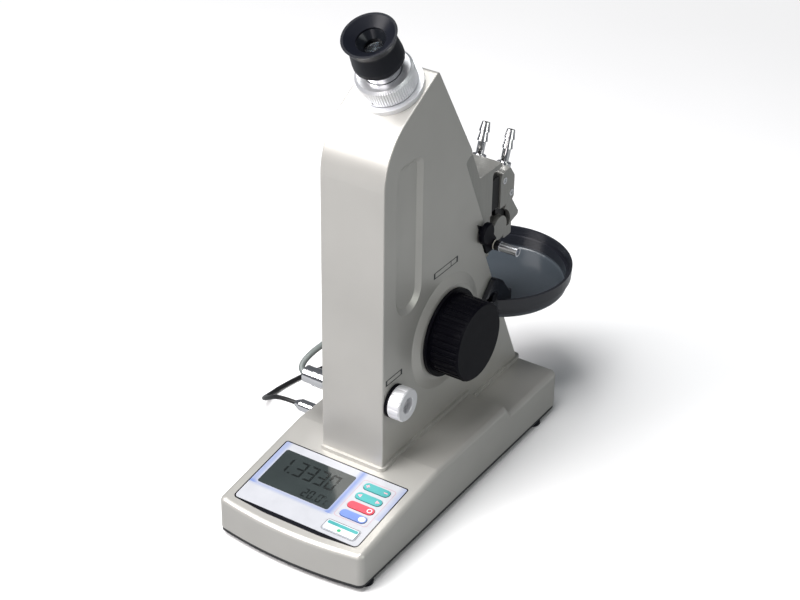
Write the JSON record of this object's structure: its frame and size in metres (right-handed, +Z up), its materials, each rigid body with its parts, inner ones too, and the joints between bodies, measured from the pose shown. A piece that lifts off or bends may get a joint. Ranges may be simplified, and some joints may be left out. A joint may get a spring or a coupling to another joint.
{
  "type": "abbe refractometer",
  "caption": "Bench refractometer with tilted eyepiece, measuring and compensator knobs, hinged prism lid, drip tray, sloped keypad and display.",
  "frame": {"origin": "centre of the instrument's box in plan, on the plane under the rubber feet", "axes": "+X to the instrument's right, where its knobs are, +Y rearwards away from the keypad, +Z up"},
  "size_m": [0.1663, 0.2915, 0.3183],
  "materials": {
    "body_paint": "satin metallic silver-grey paint",
    "black_plastic": "black, semi-gloss",
    "matte_black": "black, matte",
    "panel_print": "printed membrane",
    "display_glass": "clear window",
    "display_module": "reflective display",
    "circuit_board": "green lacquer",
    "key_teal": "printed key",
    "key_red": "printed key",
    "key_blue": "printed key",
    "rubber": "black rubber",
    "steel": "turned steel",
    "chrome": "polished",
    "aluminium": "clear anodised",
    "black_metal": "black lacquer",
    "brass": "turned brass",
    "optical_glass": "polished glass",
    "mirror": "silvered",
    "cord_black": "cable jacket",
    "cord_grey": "grey sleeve",
    "prism_metal": "satin plated"
  },
  "bodies": {
    "base": {"base_casting": "body_paint", "base_plate": "black_metal", "rubber_feet": "rubber", "housing_screws": "steel", "display_bezel": "black_plastic", "keypad_panel": "panel_print", "lcd_window": "display_glass", "lcd_module": "display_module", "display_board": "circuit_board", "main_board": "circuit_board", "column_housing": "body_paint", "rear_cover": "body_paint", "optics_chassis": "aluminium", "telescope_tube": "black_metal", "objective_lens": "optical_glass", "reticle": "optical_glass", "compensator_belt": "rubber", "compensator_bush": "matte_black", "measuring_bush": "brass", "encoder_reader": "matte_black", "eyepiece_flange": "chrome", "main_prism_housing": "prism_metal", "main_prism": "optical_glass", "hinge_pin": "steel", "temperature_probe": "steel", "tray_pegs": "steel", "panel_sockets": "matte_black", "lead_plugs": "chrome", "power_lead": "cord_black", "power_coil": "cord_black", "sensor_plug": "chrome", "sensor_lead": "cord_grey", "hinge_side_cover": "matte_black"},
    "measuring_drive": {"measuring_knob": "black_plastic", "measuring_shaft": "steel", "encoder_disc": "steel"},
    "mirror_swing": {"mirror_sector": "brass", "measuring_mirror": "mirror"},
    "compensator_drive": {"compensator_knob": "aluminium", "compensator_shaft": "steel"},
    "compensator_pinion": {"compensator_pinion": "brass"},
    "upper_cell": {"upper_compensator_cell": "brass", "upper_amici_prism": "optical_glass"},
    "lower_cell": {"lower_compensator_cell": "brass", "lower_amici_prism": "optical_glass"},
    "diopter": {"diopter_ring": "aluminium"},
    "eyepiece": {"eyepiece_barrel": "aluminium", "eyecup": "rubber", "eyepiece_lenses": "optical_glass"},
    "prism_lid": {"secondary_prism_holder": "prism_metal", "secondary_prism": "optical_glass", "hose_nipples": "chrome", "holder_screws": "steel"},
    "prism_lock": {"prism_lock_knob": "black_plastic"},
    "tray": {"drip_tray": "black_plastic"},
    "plus_minus_key": {"plus_minus_key": "key_teal"},
    "left_right_key": {"left_right_key": "key_teal"},
    "select_key": {"select_key": "key_red"},
    "mode_key": {"mode_key": "key_blue"},
    "start_key": {"start_key": "key_teal"}
  },
  "joints": [
    {"name": "measuring_knob_turn", "type": "hinge", "parent": "base", "child": "measuring_drive", "pos_m": [0, -0.0045, 0.101], "axis": [1, 0, 0], "range_deg": [-180, 180]},
    {"name": "mirror_turn", "type": "hinge", "parent": "base", "child": "mirror_swing", "pos_m": [0, 0.01732, 0.17708], "axis": [1, 0, 0], "range_deg": [-12, 12]},
    {"name": "compensator_knob_turn", "type": "hinge", "parent": "base", "child": "compensator_drive", "pos_m": [0, -0.0615, 0.0817], "axis": [1, 0, 0], "range_deg": [-270, 270]},
    {"name": "compensator_pinion_turn", "type": "hinge", "parent": "base", "child": "compensator_pinion", "pos_m": [0, -0.00474, 0.21687], "axis": [1, 0, 0], "range_deg": [-275, 275]},
    {"name": "upper_cell_turn", "type": "hinge", "parent": "base", "child": "upper_cell", "pos_m": [0, -0.0348, 0.2711], "axis": [0, -0.4848, 0.8746], "range_deg": [-92, 92]},
    {"name": "lower_cell_turn", "type": "hinge", "parent": "base", "child": "lower_cell", "pos_m": [0, -0.0348, 0.2711], "axis": [0, -0.4848, 0.8746], "range_deg": [-92, 92]},
    {"name": "diopter_turn", "type": "hinge", "parent": "base", "child": "diopter", "pos_m": [0, -0.0348, 0.2711], "axis": [0, -0.4848, 0.8746], "range_deg": [-150, 150]},
    {"name": "eyepiece_travel", "type": "slide", "parent": "base", "child": "eyepiece", "axis": [0, -0.4848, 0.8746], "range_m": [-0.0025, 0.0025]},
    {"name": "prism_open", "type": "hinge", "parent": "base", "child": "prism_lid", "pos_m": [0, 0.0614, 0.1415], "axis": [-1, 0, 0], "range_deg": [0, 85]},
    {"name": "prism_lock_turn", "type": "hinge", "parent": "base", "child": "prism_lock", "pos_m": [0, 0.0372, 0.1502], "axis": [1, 0, 0], "range_deg": [0, 90]},
    {"name": "tray_slide", "type": "slide", "parent": "base", "child": "tray", "axis": [0, 1, 0], "range_m": [0, 0.06]},
    {"name": "plus_minus_press", "type": "slide", "parent": "base", "child": "plus_minus_key", "axis": [0, 0.1384, -0.9904], "range_m": [0, 0.0004], "stiffness_N_per_m": 600, "springref_m": -0.0002},
    {"name": "left_right_press", "type": "slide", "parent": "base", "child": "left_right_key", "axis": [0, 0.1384, -0.9904], "range_m": [0, 0.0004], "stiffness_N_per_m": 600, "springref_m": -0.0002},
    {"name": "select_press", "type": "slide", "parent": "base", "child": "select_key", "axis": [0, 0.1384, -0.9904], "range_m": [0, 0.0004], "stiffness_N_per_m": 600, "springref_m": -0.0002},
    {"name": "mode_press", "type": "slide", "parent": "base", "child": "mode_key", "axis": [0, 0.1384, -0.9904], "range_m": [0, 0.0004], "stiffness_N_per_m": 600, "springref_m": -0.0002},
    {"name": "start_press", "type": "slide", "parent": "base", "child": "start_key", "axis": [0, 0.1384, -0.9904], "range_m": [0, 0.0004], "stiffness_N_per_m": 600, "springref_m": -0.0002}
  ],
  "couplings": [
    {"joint": "mirror_turn", "follows": "measuring_knob_turn", "ratio": -0.053232},
    {"joint": "compensator_pinion_turn", "follows": "compensator_knob_turn", "ratio": 1},
    {"joint": "upper_cell_turn", "follows": "compensator_knob_turn", "ratio": -0.33333},
    {"joint": "lower_cell_turn", "follows": "compensator_knob_turn", "ratio": 0.33333},
    {"joint": "eyepiece_travel", "follows": "diopter_turn", "m_per_rad": 0.00095}
  ]
}
